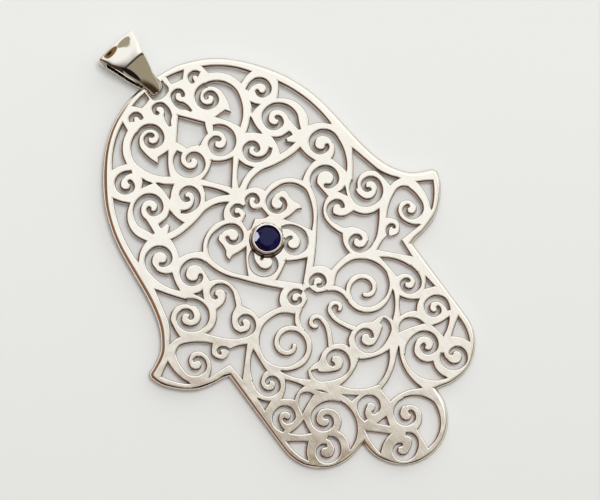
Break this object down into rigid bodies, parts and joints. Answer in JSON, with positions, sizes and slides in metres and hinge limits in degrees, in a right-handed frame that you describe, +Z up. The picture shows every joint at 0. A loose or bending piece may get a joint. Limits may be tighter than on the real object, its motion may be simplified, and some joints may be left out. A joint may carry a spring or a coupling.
{
  "type": "hamsa pendant",
  "caption": "Flat pierced metal pendant shaped as an open hand with scrollwork cut through, a round faceted stone in a raised bezel and a tapered bail.",
  "frame": {"origin": "under the middle of the whole pendant, on the surface it lies on", "axes": "+Y along the hand from its fingers towards the bail, +Z up out of the pendant's front, +X towards its right thumb as seen from the front"},
  "size_m": [0.05, 0.0738, 0.0042],
  "materials": {
    "hamsa_plate": "polished silver, softly worn",
    "stone": "faceted, polished, deep blue",
    "bail": "mirror-polished silver"
  },
  "bodies": {
    "hand": {"hamsa_plate": "hamsa_plate", "stone": "stone"},
    "bail": {"bail": "bail"}
  },
  "joints": [
    {"name": "bail_swing", "type": "hinge", "parent": "hand", "child": "bail", "pos_m": [-0.0004, 0.02856, 0.00161], "axis": [0.9914, 0.1305, 0], "range_deg": [-90, 90]}
  ]
}
